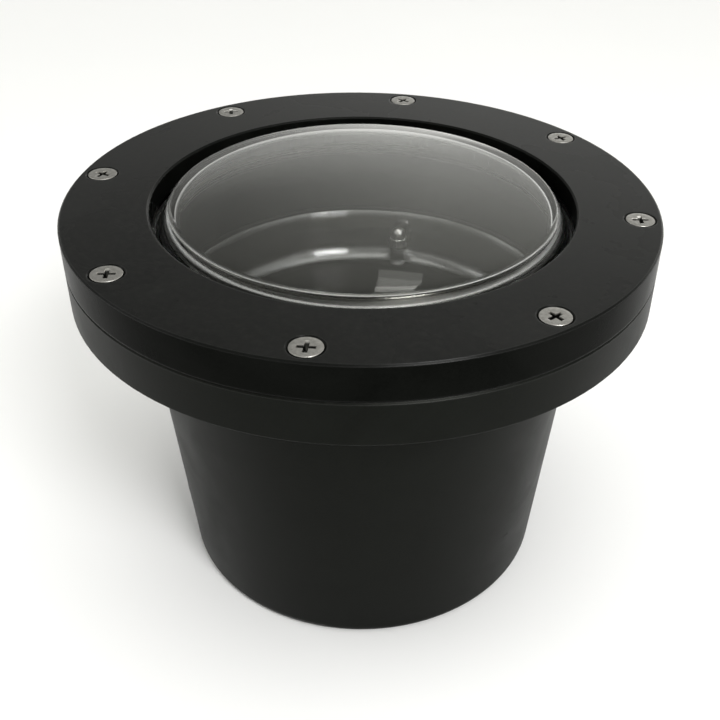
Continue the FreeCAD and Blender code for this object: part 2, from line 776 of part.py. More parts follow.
def dome_on(body, s, centre, radius, shoulder):
    """A short neck with a round top, on the stud that stands on +Y."""
    sketch = new_sketch(body, "dome_profile", "YZ_Plane")
    base, side, top = (as_size(centre), centre + radius, shoulder + radius)
    points = [
        (base.value, s.cap_nut_hex_height.value),
        (side.value, s.cap_nut_hex_height.value),
        (side.value, shoulder.value),
        (base.value, top.value),
    ]
    vectors = [Vector(x, y, 0) for x, y in points]
    for i in range(2):
        sketch.addGeometry(Part.LineSegment(vectors[i], vectors[i + 1]), False)
    circle = Part.Circle(Vector(base.value, shoulder.value, 0), Vector(0, 0, 1), radius.value)
    sketch.addGeometry(Part.ArcOfCircle(circle, 0, math.pi / 2), False)
    sketch.addGeometry(Part.LineSegment(vectors[3], vectors[0]), False)
    for first, second in (((0, 2), (1, 1)), ((1, 2), (2, 1)), ((2, 2), (3, 1)), ((3, 2), (0, 1))):
        sketch.addConstraint(Sketcher.Constraint("Coincident", *first, *second))
    pin_point(sketch, 0, 1, base, s.cap_nut_hex_height)
    pin_point(sketch, 1, 1, side, s.cap_nut_hex_height)
    pin_point(sketch, 1, 2, side, shoulder)
    pin_point(sketch, 2, 3, base, shoulder)
    index = sketch.addConstraint(Sketcher.Constraint("DistanceX", -1, 1, 2, 2, base.value))
    sketch.setExpression(f"Constraints[{index}]", base.text)
    axis = sketch.addGeometry(Part.LineSegment(vectors[0], vectors[3]), True)
    sketch.addConstraint(Sketcher.Constraint("Coincident", axis, 1, 0, 1))
    sketch.addConstraint(Sketcher.Constraint("Coincident", axis, 2, 2, 2))
    dome = body.newObject("PartDesign::Revolution", "dome")
    dome.Profile = sketch
    dome.ReferenceAxis = (sketch, ["Axis0"])
    dome.Angle = 360
    body.Tip = dome
    return dome


# ---- swivel stem ----

def make_stem(doc, s, at):
    """Hollow threaded stem: the bracket turns on it and the lead runs through it."""
    body = new_body(doc, "swivel_stem", at.stem_bottom)
    height = at.stem_top - at.stem_bottom
    turned(body, "tube", [
        (s.stem_bore / 2, ZERO),
        (s.stem_diameter / 2, ZERO),
        (s.stem_diameter / 2, height),
        (s.stem_bore / 2, height),
    ])
    return body


def make_hex_nut(doc, name, place, flats, bore, height, y=ZERO):
    body = new_body(doc, name, place, y=y)

    def outline(sketch):
        draw_hexagon(sketch, flats)
        draw_circle(sketch, ZERO, ZERO, bore)

    extruded(body, "nut", outline, height)
    return body


def make_disc(doc, name, place, diameter, bore, height, y=ZERO):
    body = new_body(doc, name, place, y=y)

    def outline(sketch):
        draw_circle(sketch, ZERO, ZERO, diameter)
        draw_circle(sketch, ZERO, ZERO, bore)

    extruded(body, "disc", outline, height)
    return body


# ---- aiming bracket ----

def make_yoke(doc, s, at):
    """Steel strip bent to a U, which swivels on the stem."""
    body = new_body(doc, "yoke", at.yoke_bottom)
    inner = s.yoke_span / 2
    outer = inner + s.strip_thickness
    arm_top = s.pivot_height + s.strip_width / 2

    def strip(sketch):
        draw_outline(sketch, [
            (outer * -1, ZERO), (outer, ZERO), (outer, arm_top), (inner, arm_top),
            (inner, s.strip_thickness), (inner * -1, s.strip_thickness), (inner * -1, arm_top),
            (outer * -1, arm_top),
        ])

    extruded(body, "strip", strip, s.strip_width, plane="XZ_Plane", both_ways=True)
    bends = s.strip_bend_radius + s.strip_thickness
    soften_bends(doc, body, "outer_bends", [(outer, ZERO), (outer * -1, ZERO)], bends)
    inner_places = [(inner, s.strip_thickness), (inner * -1, s.strip_thickness)]
    soften_bends(doc, body, "inner_bends", inner_places, s.strip_bend_radius)
    stem_hole = s.stem_diameter + s.stem_clearance * 2
    pocket(body, "stem_hole", lambda k: draw_circle(k, ZERO, ZERO, stem_hole),
           s.strip_thickness, lift=s.strip_thickness)
    pivot_hole = s.pivot_diameter + s.pivot_clearance * 2
    pocket(body, "pivot_holes", lambda k: draw_circle(k, ZERO, s.pivot_height, pivot_hole),
           (outer + s.hole_overrun) * 2, plane="YZ_Plane", both_ways=True)
    return body


def make_carrier(doc, s, at):
    """Strip with two upturned ears, which tilts between the yoke's arms and carries the socket."""
    body = new_body(doc, "socket_carrier", at.pivot)
    outer = s.yoke_span / 2 - s.carrier_gap
    inner = outer - s.carrier_thickness
    floor = s.carrier_drop * -1
    under = floor - s.carrier_thickness
    ear_top = s.strip_width / 2

    def strip(sketch):
        draw_outline(sketch, [
            (outer * -1, under), (outer, under), (outer, ear_top), (inner, ear_top),
            (inner, floor), (inner * -1, floor), (inner * -1, ear_top), (outer * -1, ear_top),
        ])

    extruded(body, "strip", strip, s.strip_width, plane="XZ_Plane", both_ways=True)
    soften_bends(doc, body, "bends", [(outer, under), (outer * -1, under)], s.carrier_thickness)
    pocket(body, "pivot_holes", lambda k: draw_circle(k, ZERO, ZERO, s.pivot_diameter),
           (outer + s.hole_overrun) * 2, plane="YZ_Plane", both_ways=True)
    lead_hole = s.lead_diameter + s.lead_hole_clearance * 2
    pocket(body, "lead_hole", lambda k: draw_circle(k, ZERO, ZERO, lead_hole),
           s.carrier_thickness, lift=floor)
    for side, name in ((-1, "left"), (1, "right")):
        x = s.socket_screw_spacing * (side / 2)
        pocket(body, f"screw_hole_{name}", lambda k: draw_circle(k, x, ZERO, s.socket_screw_diameter),
               s.carrier_thickness, lift=floor)
    return body


def make_pivot_screws(doc, s, at):
    """Two pan-head screws, tapped into the carrier's ears and turning in the yoke's arms."""
    body = new_body(doc, "pivot_screws", at.pivot)
    seat = s.yoke_span / 2 + s.strip_thickness
    inner = s.yoke_span / 2 - s.carrier_gap - s.carrier_thickness
    for side, name in ((-1, "left"), (1, "right")):
        head = new_sketch(body, f"head_{name}_outline", "YZ_Plane", seat * side)
        draw_circle(head, ZERO, ZERO, s.pivot_head_diameter)
        pad_from(body, f"head_{name}", head, s.pivot_head_height, side < 0)
        shank = new_sketch(body, f"shank_{name}_outline", "YZ_Plane", (inner - s.pivot_tip) * side)
        draw_circle(shank, ZERO, ZERO, s.pivot_diameter)
        pad_from(body, f"shank_{name}", shank, seat - inner + s.pivot_tip, side < 0)
    return body


def pad_from(body, name, sketch, length, reverse):
    pad = body.newObject("PartDesign::Pad", name)
    pad.Profile = sketch
    pad.Reversed = reverse
    pad.setExpression("Length", length.text)
    body.Tip = pad


def make_socket(doc, s, at):
    """Ceramic two-pin lamp socket."""
    body = new_body(doc, "lamp_socket", at.carrier_top)
    x = s.socket_length / 2
    y = s.socket_width / 2
    extruded(body, "block", lambda k: draw_box(k, x * -1, y * -1, x, y), s.socket_height)
    for side, name in ((-1, "left"), (1, "right")):
        pin_x = s.pin_spacing * (side / 2)
        screw_x = s.socket_screw_spacing * (side / 2)
        pocket(body, f"pin_hole_{name}", lambda k: draw_circle(k, pin_x, ZERO, s.pin_hole_diameter),
               s.contact_recess, lift=s.socket_height)
        pocket(body, f"contact_hole_{name}", lambda k: draw_circle(k, pin_x, ZERO, s.contact_diameter),
               s.contact_length, lift=s.socket_height - s.contact_recess)
        pocket(body, f"screw_hole_{name}", lambda k: draw_circle(k, screw_x, ZERO, s.socket_screw_diameter),
               s.socket_height, lift=s.socket_height)
        head = s.socket_screw_head_diameter
        pocket(body, f"screw_seat_{name}", lambda k: draw_circle(k, screw_x, ZERO, head),
               s.socket_screw_head_height, lift=s.socket_height)
    return body


def make_contacts(doc, s, at):
    """Sprung sleeves that grip the lamp's pins."""
    body = new_body(doc, "socket_contacts", at.socket_top - s.contact_recess - s.contact_length)

    def ring(sketch):
        for side in (-1, 1):
            x = s.pin_spacing * (side / 2)
            draw_circle(sketch, x, ZERO, s.contact_diameter)
            draw_circle(sketch, x, ZERO, s.pin_hole_diameter)

    extruded(body, "sleeves", ring, s.contact_length)
    return body


def make_screw_pair(doc, name, place, spacing, diameter, head, head_height, length, y=ZERO):
    """Two upright cheese-head screws whose heads bear at their own origin's height."""
    body = new_body(doc, name, place, y=y)
    for side, end in ((-1, "left"), (1, "right")):
        x = spacing * (side / 2)
        extruded(body, f"head_{end}", lambda k: draw_circle(k, x, ZERO, head), head_height)
        shank = new_sketch(body, f"shank_{end}_outline", "XY_Plane")
        draw_circle(shank, x, ZERO, diameter)
        pad_from(body, f"shank_{end}", shank, length, True)
    return body


# ---- leads and terminal block ----

def make_socket_lead(doc, s, at):
    """Sleeved twin lead from the socket down into the stem."""
    body = new_body(doc, "socket_lead", at.lead_joint)
    length = at.carrier_top - at.lead_joint
    extruded(body, "lead", lambda k: draw_circle(k, ZERO, ZERO, s.lead_diameter), length)
    return body


def make_supply_lead(doc, s, at):
    """Sleeved twin lead from the stem to the terminal block, in one bend."""
    body = new_body(doc, "supply_lead", at.block_bottom)
    level = s.block_height / 2
    rise = at.lead_joint - at.block_bottom
    end = at.block_radius - s.block_width / 2
    path = new_sketch(body, "lead_path", "YZ_Plane")
    draw_bend(path, end * -1, level, rise)
    section = new_sketch(body, "lead_section", "XY_Plane", rise)
    draw_circle(section, ZERO, ZERO, s.lead_diameter)
    pipe = body.newObject("PartDesign::AdditivePipe", "lead")
    pipe.Profile = section
    pipe.Spine = (path, ["Edge1", "Edge2", "Edge3"])
    body.Tip = pipe
    return body


def draw_bend(sketch, end, level, rise):
    """A line down the Y axis, a quarter arc, and a level line out to x = end."""
    bend = (rise - level) / 2
    centre = Vector(-bend.value, level.value + bend.value, 0)
    sketch.addGeometry(Part.LineSegment(Vector(0, rise.value, 0), Vector(0, centre.y, 0)), False)
    circle = Part.Circle(centre, Vector(0, 0, 1), bend.value)
    sketch.addGeometry(Part.ArcOfCircle(circle, -math.pi / 2, 0), False)
    foot = Vector(centre.x, level.value, 0)
    sketch.addGeometry(Part.LineSegment(foot, Vector(end.value, level.value, 0)), False)
    sketch.addConstraint(Sketcher.Constraint("Coincident", 0, 2, 1, 2))
    sketch.addConstraint(Sketcher.Constraint("Coincident", 1, 1, 2, 1))
    pin_point(sketch, 0, 1, ZERO, rise)
    pin_point(sketch, 0, 2, ZERO, level + bend)
    pin_point(sketch, 2, 1, bend * -1, level)
    pin_point(sketch, 2, 2, end, level)
    pin_along(sketch, "DistanceY", 1, 3, level + bend)


def make_terminal_block(doc, s, at):
    """Splice block with three wire ways and clamp screw wells."""
    body = new_body(doc, "terminal_block", at.block_bottom, y=at.block_radius * -1)
    x = s.block_length / 2
    y = s.block_width / 2
    extruded(body, "block", lambda k: draw_box(k, x * -1, y * -1, x, y), s.block_height)

    def circles(sketch, diameter):
        for step in (-1, 0, 1):
            draw_circle(sketch, s.clamp_screw_spacing * step, ZERO, diameter)

    pocket(body, "clamp_wells", lambda k: circles(k, s.clamp_screw_diameter),
           s.clamp_screw_height + s.clamp_screw_recess, lift=s.block_height)
    for side, name in ((-1, "left"), (1, "right")):
        screw_x = s.block_screw_spacing * (side / 2)
        pocket(body, f"screw_hole_{name}", lambda k: draw_circle(k, screw_x, ZERO, s.block_screw_diameter),
               s.block_height, lift=s.block_height)
        head = s.block_screw_head_diameter
        pocket(body, f"screw_seat_{name}", lambda k: draw_circle(k, screw_x, ZERO, head),
               s.block_height / 2, lift=s.block_height)
    return body


def make_clamp_screws(doc, s, at):
    """Grub screws that clamp the wires."""
    place = at.block_bottom + s.block_height - s.clamp_screw_height - s.clamp_screw_recess
    body = new_body(doc, "clamp_screws", place, y=at.block_radius * -1)

    def circles(sketch):
        for step in (-1, 0, 1):
            draw_circle(sketch, s.clamp_screw_spacing * step, ZERO, s.clamp_screw_diameter)

    extruded(body, "screws", circles, s.clamp_screw_height)
    return body


# ---- cable gland ----

def make_gland_body(doc, s, at):
    """Threaded entry through the base, with its hexagon below."""
    body = new_body(doc, "gland_body", at.gland_top, y=at.gland_radius)

    def hexagon(sketch):
        draw_hexagon(sketch, s.gland_flats)
        draw_circle(sketch, ZERO, ZERO, s.gland_bore)

    flange = new_sketch(body, "hexagon_outline", "XY_Plane")
    hexagon(flange)
    pad_from(body, "hexagon", flange, s.gland_flange_height, True)

    def tube(sketch):
        draw_circle(sketch, ZERO, ZERO, s.gland_thread)
        draw_circle(sketch, ZERO, ZERO, s.gland_bore)

    length = s.gland_washer_thickness + s.base_thickness + s.gland_nut_height + s.gland_thread_end
    extruded(body, "thread", tube, length)
    return body


def make_gland_seal(doc, s, at):
    """Rubber sleeve that grips the cable."""
    height = s.gland_cap_height - s.gland_cap_lip
    return make_disc(doc, "gland_seal", at.gland_cap_top - height, s.gland_bore, s.cable_diameter, height,
                     y=at.gland_radius)


def make_gland_cap(doc, s, at):
    """Domed nut that squeezes the seal."""
    body = new_body(doc, "gland_cap", at.gland_cap_top - s.gland_cap_height, y=at.gland_radius)
    outer = s.gland_flats / 2
    bore = s.gland_bore / 2
    mouth = s.cable_diameter / 2 + s.gland_mouth_clearance
    shoulder = s.gland_cap_height - outer + bore
    turned(body, "cap", [
        (mouth, ZERO),
        (bore + s.gland_nose, ZERO),
        (outer, shoulder),
        (outer, s.gland_cap_height),
        (bore, s.gland_cap_height),
        (bore, s.gland_cap_lip),
        (mouth, s.gland_cap_lip),
    ])
    return body


# ---- the whole light ----

def build(doc):
    s = Sheet(doc)
    doc.recompute()
    at = Layout(s)
    stem_bore = s.stem_diameter + s.stem_clearance * 2
    parts = [
        make_housing(doc, s, at),
        make_cover_ring(doc, s, at),
        make_cover_screws(doc, s, at),
        make_screw_inserts(doc, s, at),
        make_lens(doc, s, at),
        make_lens_gasket(doc, s, at),
        make_lamp_deck(doc, s, at),
        make_deck_studs(doc, s, at),
        make_deck_washers(doc, s, at),
        make_deck_cap_nuts(doc, s, at),
        make_stem(doc, s, at),
        make_disc(doc, "thrust_washer", at.well_floor, s.thrust_washer_diameter, stem_bore,
                  s.thrust_washer_thickness),
        make_disc(doc, "friction_washer", at.yoke_top, s.thrust_washer_diameter, stem_bore,
                  s.thrust_washer_thickness),
        make_hex_nut(doc, "swivel_nut", at.stem_nut_bottom, s.stem_nut_flats, s.stem_diameter,
                     s.stem_nut_height),
        make_hex_nut(doc, "stem_lock_nut", at.well_underside - s.stem_nut_height, s.stem_nut_flats,
                     s.stem_diameter, s.stem_nut_height),
        make_yoke(doc, s, at),
        make_carrier(doc, s, at),
        make_pivot_screws(doc, s, at),
        make_socket(doc, s, at),
        make_contacts(doc, s, at),
        make_screw_pair(doc, "socket_screws", at.socket_top - s.socket_screw_head_height,
                        s.socket_screw_spacing, s.socket_screw_diameter,
                        s.socket_screw_head_diameter, s.socket_screw_head_height,
                        s.socket_height - s.socket_screw_head_height + s.carrier_thickness),
        make_socket_lead(doc, s, at),
        make_supply_lead(doc, s, at),
        make_terminal_block(doc, s, at),
        make_clamp_screws(doc, s, at),
        make_screw_pair(doc, "block_screws", at.block_bottom + s.block_height / 2, s.block_screw_spacing,
                        s.block_screw_diameter, s.block_screw_head_diameter, s.block_screw_head_height,
                        s.block_height / 2 + s.block_foot_height + s.base_thickness / 2,
                        y=at.block_radius * -1),
        make_gland_body(doc, s, at),
        make_gland_seal(doc, s, at),
        make_gland_cap(doc, s, at),
        make_disc(doc, "gland_washer", at.gland_top, s.gland_flats, s.gland_thread, s.gland_washer_thickness,
                  y=at.gland_radius),
        make_hex_nut(doc, "gland_lock_nut", at.base_top, s.gland_nut_flats, s.gland_thread,
                     s.gland_nut_height, y=at.gland_radius),
    ]
    doc.recompute()
    return parts


def check(doc, parts):
    for item in doc.Objects:
        if "Invalid" in item.State or "Error" in item.State:
            raise RuntimeError(f"{item.Name} failed: {item.State}")
    for part in parts:
        if part.Shape.isNull() or not part.Shape.isValid():
            raise RuntimeError(f"{part.Label} has no sound solid")


def main():
    doc = FreeCAD.newDocument("well_light")
    parts = build(doc)
    check(doc, parts)
    os.makedirs("parts", exist_ok=True)
    for part in parts:
        part.Shape.exportStep(os.path.join("parts", part.Label + ".step"))
        print(f"{part.Label}: {len(part.Shape.Solids)} solid(s), {part.Shape.Volume / 1000:.2f} cm3")


main()
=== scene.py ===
import math

import bmesh
import bpy
from mathutils import Matrix, Vector


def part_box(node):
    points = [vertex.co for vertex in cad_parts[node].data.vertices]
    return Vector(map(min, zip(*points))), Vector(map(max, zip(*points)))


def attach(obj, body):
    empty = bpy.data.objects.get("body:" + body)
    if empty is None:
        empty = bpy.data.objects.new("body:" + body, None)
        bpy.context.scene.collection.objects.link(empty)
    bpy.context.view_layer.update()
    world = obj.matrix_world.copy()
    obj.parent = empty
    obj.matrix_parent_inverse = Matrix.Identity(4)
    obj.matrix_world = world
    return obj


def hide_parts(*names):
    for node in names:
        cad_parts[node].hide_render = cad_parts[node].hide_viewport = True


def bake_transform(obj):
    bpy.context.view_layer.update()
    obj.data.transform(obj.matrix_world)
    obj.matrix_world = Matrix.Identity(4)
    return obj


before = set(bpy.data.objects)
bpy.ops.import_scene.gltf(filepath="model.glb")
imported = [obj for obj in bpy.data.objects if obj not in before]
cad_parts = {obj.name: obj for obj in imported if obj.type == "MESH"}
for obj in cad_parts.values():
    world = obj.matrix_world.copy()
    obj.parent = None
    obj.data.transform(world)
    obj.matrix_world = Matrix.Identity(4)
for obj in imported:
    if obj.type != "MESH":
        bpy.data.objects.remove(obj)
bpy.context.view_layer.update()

# In-ground well light, in metres, in the frame's own axes: the foot stands on z = 0 and +Z is up.
# The sections below go from places and sizes, over materials and meshes, to the stage and the scene.

MM = 0.001

# ---- places read from the frame ----

COVER_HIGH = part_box("cover_ring")[1]
SCREWS_LOW, SCREWS_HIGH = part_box("cover_screws")
LEAD_LOW, LEAD_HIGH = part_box("socket_lead")
SUPPLY_LOW, SUPPLY_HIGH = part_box("supply_lead")
LENS_LOW, LENS_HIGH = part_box("lens")
STEM_LOW, STEM_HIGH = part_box("swivel_stem")
PIVOTS_LOW, PIVOTS_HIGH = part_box("pivot_screws")
SOCKET_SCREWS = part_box("socket_screws")
BLOCK_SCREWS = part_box("block_screws")

TOP = COVER_HIGH.z
LEAD_RADIUS = LEAD_HIGH.x

# ---- screws and threads ----

SCREW_COUNT = 8
HEAD_RADIUS = 5.65 * MM
SCREW_CIRCLE = SCREWS_HIGH.x - HEAD_RADIUS
SCREW_LENGTH = SCREWS_HIGH.z - SCREWS_LOW.z
SHANK_RADIUS = 2.95 * MM
THREAD_DEPTH_SHARE = 0.095
THREAD_PITCH_SHARE = 0.34
# Turns over which a screw's thread fades out at its tip.
TIP_FADE = 1.5
HEAD_RIM = 0.4 * MM
# Open ring between a cover screw's head and its countersink.
HEAD_GAP = 0.4 * MM
HEAD_BEVEL = 0.35 * MM
# The bevel from the top down: (share of its width in from the edge, how deep).
HEAD_BEVEL_STEPS = ((1.0, 0.01 * MM), (0.45, 0.06 * MM), (0.1, 0.20 * MM))
# A ring of points on the head's flat top, as a share of the head's radius.
HEAD_FLAT_SHARE = 0.70
# A low rounded head from its top down to its shank: (share of its radius, share of its height).
PAN_PROFILE = ((0.72, 1.0), (0.86, 0.90), (0.96, 0.66), (1.0, 0.36), (1.0, 0.0), (0.52, 0.0))
# How far each cover screw happened to be turned when it was tightened, in degrees.
SCREW_TURNS = (8, 34, 62, 17, 71, 12, 4, 48)
# The same for the two pivot screws, and for each pair of small screws, in radians.
PIVOT_TURNS = (0.5, 1.5)
SMALL_TURNS = (0.3, 1.1)
# Each cross recess is (reach from the middle, width of an arm, depth).
COVER_CROSS = (3.05 * MM, 1.6 * MM, 2.1 * MM)
PIVOT_CROSS = (2.1 * MM, 0.9 * MM, 1.4 * MM)
SMALL_CROSS = (1.5 * MM, 0.65 * MM, 1.1 * MM)
# A recess on its way up from its point: (share of its outline, how deep that is as a share of its depth).
CROSS_STEPS = ((0.42, 0.9), (0.74, 0.6), (0.92, 0.2), (0.97, 0.04), (1.03, 0.005))
# Sides of a screw, and rings along each turn of its thread.
SCREW_SIDES = 48
SCREW_STEPS = 5

PIVOT_HEAD = 2.4 * MM
PIVOT_SHANK = 2.0 * MM
PIVOT_LENGTH = 4.85 * MM
SMALL_SHANK = 1.5 * MM
SOCKET_SCREW_HEAD = 1.7 * MM
BLOCK_SCREW_HEAD = 2.0 * MM
STEM_BORE = 3.2 * MM
STEM_PITCH = 1.25 * MM
STEM_THREAD = 0.45 * MM
# Sides of the stem, and rings along each turn of its thread.
STEM_SIDES = 72
STEM_STEPS = 6

# ---- lens ----

CROWN_RADIUS = 70.5 * MM
CROWN_ROOT = 76.5 * MM
CROWN_EDGE = 2.6 * MM
LENS_THICKNESS = 7.0 * MM
LENS_FLANGE_TOP = LENS_LOW.z + 7.6 * MM
LENS_RIM_ROUND = 0.6 * MM
ROOT_ROUND = 3.0 * MM
DISH_RADIUS = 71.5 * MM
DISH_TOP = 70.0 * MM
DISH_CORNER = 5.0 * MM
LENS_SIDES = 720
DOME_STEPS = 26
# How far out each dome runs before the rounding of its edge begins, as a share of its radius.
CROWN_REACH = 0.93
DISH_REACH = 0.88
# The dull, ringed skirt round the crown: where it starts, and over what width it fades in.
SKIRT_START = CROWN_RADIUS - 2.2 * MM
SKIRT_BAND = 3.4 * MM

# ---- leads ----

LEAD_SIDES = 24
LEAD_STEPS = 24
BEND_STEPS = 16
# A point on the straight piece above the supply lead's bend, as a share of the bend's radius.
BEND_LEAD_IN = 1.5

# ---- camera, as the photograph was taken: angles in radians, lens and sensor in mm ----

CAMERA_PLACE = Vector((0.05646, -0.33132, 0.31468))
CAMERA_HEADING = math.radians(6.05)
CAMERA_DOWN = math.radians(34.86)
CAMERA_ROLL = math.radians(2.21)
CAMERA_LENS = 50.03
CAMERA_SENSOR = 36
CAMERA_CLIP = 0.01
CAMERA_SHIFT = -0.0789

# ---- stage and light ----

FLOOR_HALF = 8.0
FLOOR_DROP = 0.2 * MM
LIGHT_AIM = Vector((0, 0, 0.1))
# Brightness of the surroundings, as (sine of the elevation, level) stops.
SKY_BEHIND_RIGHT = (
    (0.0, 2.4), (0.13, 2.3), (0.19, 0.95), (0.26, 0.80), (0.42, 0.72),
    (0.60, 0.62), (0.74, 0.34), (0.86, 0.2), (0.90, 0.8), (0.93, 2.4),
)
SKY_BEHIND_LEFT = (
    (0.0, 0.66), (0.12, 0.66), (0.20, 0.66), (0.28, 0.62), (0.42, 0.34),
    (0.60, 0.33), (0.74, 0.25), (0.86, 0.2), (0.90, 0.8), (0.93, 2.4),
)
SKY_IN_FRONT = (
    (0.0, 0.66), (0.30, 0.62), (0.48, 0.60), (0.56, 1.05), (0.66, 1.05),
    (0.74, 0.2), (0.86, 0.2), (0.90, 0.8), (0.93, 2.4),
)
# Where left goes over to right along X, and front to back along Y: (start, width).
SKY_RIGHT_FROM = (-0.35, 0.3)
SKY_BEHIND_FROM = (-0.15, 0.25)
# The levels are divided by this on their way into a ramp, and multiplied by it afterwards.
SKY_PEAK = 6.0
SKY_COLOR = (1.0, 1.0, 0.965, 1.0)
# Area lights: name, azimuth and elevation in degrees, distance, size and power in watts.
LIGHTS = (
    ("key", 306, 43, 1.5, (0.46, 0.36), 14.0),
    ("left_soft", 180, 35, 1.5, (0.9, 0.6), 2.2),
    ("right_soft", 0, 60, 1.5, (0.9, 0.6), 1.4),
    ("window", 94, 47.5, 1.5, (0.13, 0.11), 0.034),
    ("window_sill", 94, 50.2, 1.5, (0.13, 0.05), 0.05),
)


# ---- material helpers ----

class Nodes:
    """Short ways to add the nodes that drive a material or the world."""

    def __init__(self, tree, coordinates):
        self.nodes = tree.nodes
        self.links = tree.links
        self.place = self.nodes.new("ShaderNodeTexCoord").outputs[coordinates]

    def join(self, output, node, socket):
        self.links.new(output, node.inputs[socket])

    def stretched(self, scale):
        """The place, scaled along each axis: a scale under 1 makes a pattern longer."""
        node = self.nodes.new("ShaderNodeMapping")
        node.inputs["Scale"].default_value = scale
        self.join(self.place, node, "Vector")
        return node.outputs["Vector"]

    def noise(self, size, detail=4.0, rough=0.55, distortion=0.0, place=None):
        """Cloudy noise whose largest blobs are about size metres across."""
        node = self.nodes.new("ShaderNodeTexNoise")
        node.inputs["Scale"].default_value = 1.0 / size
        node.inputs["Detail"].default_value = detail
        node.inputs["Roughness"].default_value = rough
        node.inputs["Distortion"].default_value = distortion
        self.join(place or self.place, node, "Vector")
        return node.outputs["Fac"]

    def cells(self, size, place=None):
        """Distance from the middle of the nearest cell, with cells about size metres across."""
        node = self.nodes.new("ShaderNodeTexVoronoi")
        node.inputs["Scale"].default_value = 1.0 / size
        self.join(place or self.place, node, "Vector")
        return node.outputs["Distance"]

    def ramp(self, factor, stops):
        """Colours or grey levels along a factor: stops are (position, value)."""
        node = self.nodes.new("ShaderNodeValToRGB")
        elements = node.color_ramp.elements
        while len(elements) < len(stops):
            elements.new(0.5)
        for element, (position, value) in zip(elements, stops):
            element.position = position
            level = value if isinstance(value, tuple) else (value, value, value)
            element.color = (*level, 1.0)
        self.join(factor, node, "Fac")
        return node.outputs["Color"]

    def math(self, operation, first, second):
        """One step of arithmetic on two values, each an output or a plain number."""
        node = self.nodes.new("ShaderNodeMath")
        node.operation = operation
        for socket, value in enumerate((first, second)):
            if isinstance(value, (int, float)):
                node.inputs[socket].default_value = value
            else:
                self.join(value, node, socket)
        return node.outputs["Value"]

    def add(self, first, second):
        return self.math("ADD", first, second)

    def times(self, first, second):
        return self.math("MULTIPLY", first, second)

    def blend(self, factor, first, second):
        """Mix of two colours, each a colour output or a plain colour."""
        node = self.nodes.new("ShaderNodeMix")
        node.data_type = "RGBA"
        sockets = [s for s in node.inputs if s.type == "RGBA"]
        for socket, value in zip(sockets, (first, second)):
            if isinstance(value, tuple):
                socket.default_value = (*value, 1.0)
            else:
                self.links.new(value, socket)
        self.join(factor, node, "Factor")
        return next(s for s in node.outputs if s.type == "RGBA")

    def part(self, axis):
        """One coordinate of the place."""
        node = self.nodes.new("ShaderNodeSeparateXYZ")
        self.join(self.place, node, "Vector")
        return node.outputs[axis]

    def radius(self):
        """Distance from the object's z axis."""
        x_squared = self.math("POWER", self.part("X"), 2.0)
        y_squared = self.math("POWER", self.part("Y"), 2.0)
        return self.math("POWER", self.add(x_squared, y_squared), 0.5)

    def beyond(self, radius, band):
        """0 inside a radius about the object's z axis, 1 outside it, over a band."""
        past = self.math("SUBTRACT", self.radius(), radius)
        return self.ramp(self.math("DIVIDE", past, band), [(0.0, 0.0), (1.0, 1.0)])

    def turned(self, drift):
        """A place that repeats round the z axis, apart from a slow drift."""
        node = self.nodes.new("ShaderNodeCombineXYZ")
        self.join(self.radius(), node, "X")
        self.join(self.times(self.part("X"), drift), node, "Y")
        self.join(self.part("Z"), node, "Z")
        return node.outputs["Vector"]

    def edges(self, reach):
        """1 on sharp edges, where a rounded normal leaves the true one, 0 away from them."""
        node = self.nodes.new("ShaderNodeVectorMath")
        node.operation = "DOT_PRODUCT"
        self.join(self.rounded_normal(reach), node, 0)
        self.join(self.normal(), node, 1)
        return self.ramp(node.outputs["Value"], [(0.86, 1.0), (0.985, 0.0)])

    def rounded_normal(self, reach):
        """The surface's normal as if its edges were rounded off."""
        node = self.nodes.new("ShaderNodeBevel")
        node.inputs["Radius"].default_value = reach
        return node.outputs["Normal"]

    def normal(self):
        return self.nodes.new("ShaderNodeNewGeometry").outputs["Normal"]

    def facing_up(self, low=0.55, high=0.95):
        """1 where the surface faces up, 0 on walls."""
        node = self.nodes.new("ShaderNodeSeparateXYZ")
        self.join(self.normal(), node, "Vector")
        return self.ramp(node.outputs["Z"], [(low, 0.0), (high, 1.0)])


class Shader(Nodes):
    """A material with one Principled shader."""

    def __init__(self, name, color, roughness, metallic=0.0, specular=0.5):
        self.material = bpy.data.materials.new(name)
        self.material.use_nodes = True
        super().__init__(self.material.node_tree, "Object")
        self.surface = self.nodes["Principled BSDF"]
        self.set("Base Color", (*color, 1.0))
        self.set("Roughness", roughness)
        self.set("Metallic", metallic)
        self.set("Specular IOR Level", specular)

    def set(self, socket, value):
        self.surface.inputs[socket].default_value = value

    def drive(self, socket, output):
        self.join(output, self.surface, socket)

    def bump(self, *layers, rounding=0.0, sockets=("Normal",)):
        """Bump from (height output, depth in metres) layers, the first one underneath.

        With a rounding, in metres, it lies over edges that look rounded off.
        """
        normal = self.rounded_normal(rounding) if rounding else None
        for height, depth in layers:
            node = self.nodes.new("ShaderNodeBump")
            node.inputs["Strength"].default_value = 1.0
            node.inputs["Distance"].default_value = depth
            self.join(height, node, "Height")
            if normal is not None:
                self.join(normal, node, "Normal")
            normal = node.outputs["Normal"]
        for socket in sockets:
            self.drive(socket, normal)


# ---- materials ----

# Reflections in the black plastic lean to a warm green.
CAST = (0.95, 1.0, 0.87, 1.0)
DUST = (0.30, 0.29, 0.26)
# How wide the black plastic's rubbed edges are, and how shiny they are at most.
RUB_REACH = 0.7 * MM
RUB_SHARE = 0.8


